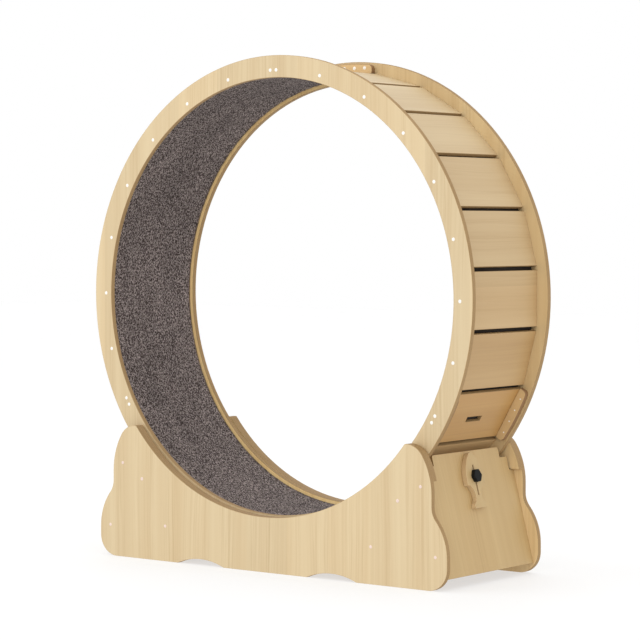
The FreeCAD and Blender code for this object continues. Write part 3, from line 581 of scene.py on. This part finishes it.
def makeCarpetStrip():
    around, across = carpet["around"], carpet["across"]
    half = wheel["carpetHalfWidth"]
    angles = numpy.linspace(0, 2 * math.pi, around, endpoint=False)
    widths = numpy.linspace(-half, half, across)
    nearEdge = numpy.clip(1 - (half - numpy.abs(widths)) / carpet["edgeWidth"], 0, 1)
    rounded = carpet["edgeRound"] * nearEdge ** 2
    radius = wheel["carpetPile"] + pileHeights() + rounded[None, :]
    points, flat = [], []
    for i, angle in enumerate(angles):
        section = [(radius[i, j], widths[j]) for j in range(across)]
        section += [(wheel["carpetBack"], half), (wheel["carpetBack"], -half)]
        for reach, y in section:
            x, z = reach * math.cos(angle), reach * math.sin(angle)
            points.append((x, y, wheel["axisHeight"] + z))
            flat.append((angle * wheel["carpetPile"], y, reach))
    count = across + 2
    faces = []
    for i in range(around):
        here, there = i * count, (i + 1) % around * count
        for j in range(count):
            following = (j + 1) % count
            faces.append((here + j, here + following, there + following, there + j))
    mesh = bpy.data.meshes.new("carpetStrip")
    mesh.from_pydata(points, [], faces)
    space = mesh.attributes.new("carpetSpace", "FLOAT_VECTOR", "POINT")
    space.data.foreach_set("vector", numpy.array(flat, numpy.float32).ravel())
    for number, polygon in enumerate(mesh.polygons):
        polygon.use_smooth = True
        polygon.material_index = 1 if number % count >= across - 1 else 0  # backing, then pile
    mesh.update()
    piece = finishPiece("runningCarpet", mesh, "wheel",
                        (makeCarpetPile(), makeMoulded("carpetBackingPaintedShade", **carpet["backing"])),
                        ("carpet",))


makeCarpetStrip()
print("carpet laid")

zinc = {
    "dull": (0.50, 0.51, 0.53),
    "bright": (0.74, 0.74, 0.76),
    "cloud": {"scale": 300, "detail": 3, "roughness": 0.6},
    "spangleScale": 900,
    "spangleShare": 0.08,
    "rubbedScale": 1200,
    "roughness": (0.24, 0.40),
    "grainScale": 1500,
    "relief": (0.00003, 0.4),
    "fade": (0.3, 0.7),
}


def makeZinc():
    material, tree, shader = startMaterial("zincPlate")
    place = placeOf(tree)
    cloud = noiseOf(tree, place, **zinc["cloud"])
    colour = rampOf(tree, cloud, zinc["fade"], (zinc["dull"], zinc["bright"]))
    spangle = addNode(tree, "ShaderNodeTexVoronoi", {
        "Vector": place, "Scale": zinc["spangleScale"]}).outputs["Color"]
    rubbed = noiseOf(tree, place, zinc["rubbedScale"])
    setInputs(tree, shader, {
        "Base Color": mixOf(tree, zinc["spangleShare"], colour, spangle, "OVERLAY"),
        "Metallic": 1,
        "Roughness": fadeOf(tree, rubbed, zinc["fade"], *zinc["roughness"]),
        "Normal": bumpOf(tree, noiseOf(tree, place, zinc["grainScale"]), *zinc["relief"]),
    })
    return material


whiteCap = {"colour": (0.88, 0.86, 0.82), "roughness": 0.30, "grainScale": 900,
            "grainDepth": 0.00002, "variation": 0.03, "coat": 0.3}
paleCap = {"colour": (0.77, 0.61, 0.54), "roughness": 0.38, "grainScale": 900,
           "grainDepth": 0.00002, "variation": 0.03, "coat": 0.1}
blackKnob = {"colour": (0.007, 0.007, 0.007), "roughness": 0.55, "grainScale": 1600,
             "grainDepth": 0.00012, "specular": 0.14}
darkNylon = {"colour": (0.045, 0.045, 0.048), "roughness": 0.38, "grainScale": 1200,
             "grainDepth": 0.00006}
sealRubber = {"colour": (0.020, 0.020, 0.022), "roughness": 0.65, "grainScale": 1500,
              "grainDepth": 0.00005}

whiteCapMaterial = makeMoulded("whiteCapPlastic", **whiteCap)
paleCapMaterial = makeMoulded("paleCapPlastic", **paleCap)
knobMaterial = makeMoulded("blackKnobPlastic", **blackKnob)
nylonMaterial = makeMoulded("darkNylon", **darkNylon)
sealMaterial = makeMoulded("bearingSealRubber", **sealRubber)
zincMaterial = makeZinc()
print("plastics and zinc made")


def addLathe(shape, profile, place, steps):
    # profile is radius and height in metres, turned about the height axis
    rings = []
    for radius, height in profile:
        turns = [2 * math.pi * k / steps for k in range(steps if radius else 1)]
        rings.append([shape.verts.new(place @ Vector((
            radius * math.cos(turn), radius * math.sin(turn), height))) for turn in turns])
    for lower, upper in zip(rings, rings[1:]):
        for k in range(steps):
            after = (k + 1) % steps
            corners = [lower[k % len(lower)], lower[after % len(lower)],
                       upper[after % len(upper)], upper[k % len(upper)]]
            corners = list(dict.fromkeys(corners))
            if len(corners) > 2:
                shape.faces.new(corners)


def addEvenRing(shape, upper, place, steps):
    # the half below mirrors the half above, and the profile closes on itself
    lower = [(radius, -height) for radius, height in reversed(upper)]
    addLathe(shape, upper + lower + [upper[0]], place, steps)


crispAngle = 38  # degrees above which a turned piece keeps its corner


def finishTurned(name, shape, body, material, replaced=()):
    bmesh.ops.recalc_face_normals(shape, faces=shape.faces)
    for face in shape.faces:
        face.smooth = True
    mesh = bpy.data.meshes.new(name)
    shape.to_mesh(mesh)
    shape.free()
    mesh.set_sharp_from_angle(angle=math.radians(crispAngle))
    finishPiece(name, mesh, body, (material,), replaced)


def turnedTo(centre, side):
    # local Z points along +Y or -Y
    return Matrix.Translation(centre) @ Matrix.Rotation(math.radians(-90 * side), 4, "X")


def solidsOf(nodeName):
    # low and high corner of each separate solid in a node
    shape = weldedShape(nodeName)
    left = set(shape.verts)
    solids = []
    while left:
        stack, found = [left.pop()], []
        while stack:
            vertex = stack.pop()
            found.append(vertex.co.copy())
            for edge in vertex.link_edges:
                other = edge.other_vert(vertex)
                if other in left:
                    left.remove(other)
                    stack.append(other)
        solids.append((Vector(map(min, *found)), Vector(map(max, *found))))
    shape.free()
    return sorted(solids, key=lambda box: tuple(round(v, 4) for v in box[0]))


# radius and height of the domed cap, and how wide the caps are in each place
cap = {
    "profile": [(0, 0.00100), (0.0014, 0.00098), (0.0026, 0.00088), (0.0035, 0.00066),
                (0.0041, 0.00034), (0.00435, 0.00008), (0.0044, 0)],
    "steps": 24,
    "onRing": 0.92,
    "onSplice": 1.0,
    "onBase": 0.86,
    "onRoller": 0.94,
    "smallHead": 0.40,  # the bare screw heads of the lower joints
    "smallBelow": 0.006,
}


def makeCaps(nodeName, body, outwards, material, share):
    shape = bmesh.new()
    for low, high in solidsOf(nodeName):
        centre = (low + high) / 2
        side = math.copysign(1, centre.y) * outwards
        centre.y = low.y if side > 0 else high.y
        isSmall = max(high.x - low.x, high.z - low.z) < cap["smallBelow"]
        wide = cap["smallHead"] if isSmall else share
        dome = [(radius * wide, height) for radius, height in cap["profile"]]
        addLathe(shape, dome + [(0, 0)], turnedTo(centre, side), cap["steps"])
    finishTurned(nodeName + "Domed", shape, body, material, (nodeName,))


makeCaps("ring_screw_caps", "wheel", 1, whiteCapMaterial, cap["onRing"])
makeCaps("splice_screw_caps", "wheel", -1, whiteCapMaterial, cap["onSplice"])
makeCaps("base_screw_caps", "base", 1, paleCapMaterial, cap["onBase"])

roller = {
    "groove": 0.026,
    "grooveHalf": 0.0067,
    "grooveFoot": (0.0012, 0.0002),
    "grooveEase": 0.001,
    "flange": 0.0305,
    "half": 0.0127,
    "round": 0.0008,
    "roundTurn": 0.3,  # where the round's middle lies, as a share of it
    "innerRound": (2.2, 1.4),  # the flange is rounder towards the groove
    "rimInside": 0.0215,
    "rimDraft": 0.0006,
    "rimEase": 0.0004,
    "web": 0.0092,
    "hubWall": 0.0022,
    "hubDraft": 0.003,
    "hubSink": 0.001,
    "steps": 96,
}

# ball bearing pressed into the hub: two steel races and a rubber seal each side
bearing = {
    "bore": 0.00305,
    "innerRace": 0.0052,
    "outerRace": 0.0093,
    "outside": 0.011,
    "sink": 0.0012,
    "ease": 0.0003,
    "sealSink": 0.0005,
    "sealBulge": (0.0012, 0.0002),
    "steps": 64,
}


def tyreProfile():
    half, groove, ease = roller["half"], roller["grooveHalf"], roller["round"]
    hub, rim, flange = bearing["outside"], roller["rimInside"], roller["flange"]
    footOut, footUp = roller["grooveFoot"]
    turn = ease * roller["roundTurn"]
    innerTop, innerTurn = (groove + share * ease for share in roller["innerRound"])
    return [
        (hub, half - roller["hubSink"]), (hub + roller["hubWall"], half - roller["hubSink"]),
        (hub + roller["hubDraft"], roller["web"]), (rim - roller["rimDraft"], roller["web"]),
        (rim, half - roller["rimEase"]), (rim + roller["rimEase"], half),
        (flange - ease, half), (flange - turn, half - turn), (flange, half - ease),
        (flange, innerTop), (flange - turn, innerTurn),
        (flange - ease, groove + ease), (roller["groove"] + footOut, groove + footUp),
        (roller["groove"], groove - roller["grooveEase"]),
    ]


def makeRoller(corner):
    nodeName, body = "roller_" + corner, corner + "_roller"
    low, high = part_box(nodeName)
    place = turnedTo((low + high) / 2, 1)
    tyre, races, seals = bmesh.new(), bmesh.new(), bmesh.new()
    addEvenRing(tyre, tyreProfile(), place, roller["steps"])
    face, ease = roller["half"] - bearing["sink"], bearing["ease"]
    for inner, outer in ((bearing["bore"], bearing["innerRace"]),
                         (bearing["outerRace"], bearing["outside"])):
        addEvenRing(races, [(inner, face - ease), (inner + ease, face), (outer - ease, face),
                            (outer, face - ease)], place, bearing["steps"])
    seal = face - bearing["sealSink"]
    bulgeOut, bulgeUp = bearing["sealBulge"]
    inner, outer = bearing["innerRace"], bearing["outerRace"]
    addEvenRing(seals, [(inner, seal), (inner + bulgeOut, seal + bulgeUp), (outer, seal)],
                place, bearing["steps"])
    finishTurned(nodeName + "Tyre", tyre, body, nylonMaterial, (nodeName,))
    finishTurned(nodeName + "Races", races, body, zincMaterial)
    finishTurned(nodeName + "Seals", seals, body, sealMaterial)


for corner in ("front_right", "front_left", "rear_right", "rear_left"):
    makeRoller(corner)

rollerBolt = {"radius": 0.003, "ease": 0.0005, "underCap": 0.0005, "capSeat": 0.001, "steps": 32}


def makeRollerBolts():
    bolts, caps = bmesh.new(), bmesh.new()
    radius, ease = rollerBolt["radius"], rollerBolt["ease"]
    for low, high in solidsOf("roller_axles"):
        centre = (low + high) / 2
        side = math.copysign(1, centre.y)
        length = high.y - low.y
        centre.y = low.y if side > 0 else high.y
        top, seat = length - rollerBolt["underCap"], length - rollerBolt["capSeat"]
        shank = [(0, top), (radius, top), (radius, ease), (radius - ease, 0), (0, 0)]
        addLathe(bolts, shank, turnedTo(centre, side), rollerBolt["steps"])
        dome = [(reach * cap["onRoller"], seat + height) for reach, height in cap["profile"]]
        addLathe(caps, dome + [(0, seat)], turnedTo(centre, side), cap["steps"])
    finishTurned("rollerBolts", bolts, "base", zincMaterial, ("roller_axles",))
    finishTurned("rollerBoltCaps", caps, "base", paleCapMaterial)


fitting = {"nutArris": 0.0004, "boltArris": 0.0005, "knobArris": 0.0006, "steps": 2, "knobSteps": 3}


def dressFitting(nodeName, body, material, arris, steps):
    shape = easedShape(nodeName, arris, steps)
    mesh = bpy.data.meshes.new(nodeName + "Fitting")
    shape.to_mesh(mesh)
    shape.free()
    softenNormals(finishPiece(nodeName + "Fitting", mesh, body, (material,), (nodeName,)))


makeRollerBolts()
dressFitting("roller_nuts", "base", zincMaterial, fitting["nutArris"],
             fitting["steps"])
dressFitting("latch_bolt", "base", zincMaterial, fitting["boltArris"],
             fitting["steps"])
dressFitting("latch_knob", "knob", knobMaterial, fitting["knobArris"],
             fitting["knobSteps"])
print("caps, rollers and fittings made")

studio = {
    "floorColour": (0.34, 0.34, 0.34),
    "floorGlow": 0.62,
    "floorReach": 14.0,
    "floorRoughness": 0.7,
    "floorSpecular": 0.1,
    "world": 1.0,
    "key": {"place": (-2.6, -3.6, 3.2), "size": 3.2, "power": 38},
    "fill": {"place": (1.6, -5.0, 2.0), "size": 2.4, "power": 38},
    "top": {"place": (-0.6, 0.6, 4.4), "size": 4.0, "power": 24},
}


def makeFloor():
    mesh = bpy.data.meshes.new("floor")
    reach = studio["floorReach"]
    corners = [(-reach, -reach, 0), (reach, -reach, 0), (reach, reach, 0), (-reach, reach, 0)]
    mesh.from_pydata(corners, [], [(0, 1, 2, 3)])
    floor = bpy.data.objects.new("floor", mesh)
    bpy.context.scene.collection.objects.link(floor)
    material, tree, shader = startMaterial("paleFloor")
    setInputs(tree, shader, {
        "Base Color": (*studio["floorColour"], 1),
        "Roughness": studio["floorRoughness"],
        "Specular IOR Level": studio["floorSpecular"],
        "Emission Color": (1, 1, 1, 1),
        "Emission Strength": studio["floorGlow"],
    })
    mesh.materials.append(material)


def makeLight(name, place, size, power):
    data = bpy.data.lights.new(name, "AREA")
    data.shape = "DISK"
    data.size = size
    data.energy = power
    light = bpy.data.objects.new(name, data)
    bpy.context.scene.collection.objects.link(light)
    light.location = place
    light.rotation_euler = (axisPoint - Vector(place)).to_track_quat("-Z", "Y").to_euler()


makeFloor()
for lightName in ("key", "fill", "top"):
    makeLight(lightName + "Light", **studio[lightName])
world = bpy.data.worlds.new("studioWorld")
world.use_nodes = True
setInputs(world.node_tree, world.node_tree.nodes["Background"], {
    "Color": (1, 1, 1, 1), "Strength": studio["world"]})
bpy.context.scene.world = world
bpy.context.scene.view_settings.view_transform = "Standard"

# matched to the photograph: place in metres, turn about Z, tilt down and roll in degrees
view = {
    "place": (3.49268, -4.49651, 0.79228),
    "azimuth": 37.719,
    "elevation": 2.2266,
    "roll": -0.056,
    "lens": 137.313,
    "sensor": 36,
    "farthest": 60,
}
cameraData = bpy.data.cameras.new("camera")
cameraData.lens = view["lens"]
cameraData.sensor_width = view["sensor"]
cameraData.clip_end = view["farthest"]
camera = bpy.data.objects.new("camera", cameraData)
bpy.context.scene.collection.objects.link(camera)
turnAbout = Matrix.Rotation(math.radians(view["azimuth"]), 4, "Z")
tiltDown = Matrix.Rotation(math.radians(90 - view["elevation"]), 4, "X")
rollIt = Matrix.Rotation(math.radians(-view["roll"]), 4, "Z")
camera.matrix_world = Matrix.Translation(Vector(view["place"])) @ turnAbout @ tiltDown @ rollIt
bpy.context.scene.camera = camera
print("camera and lights placed")
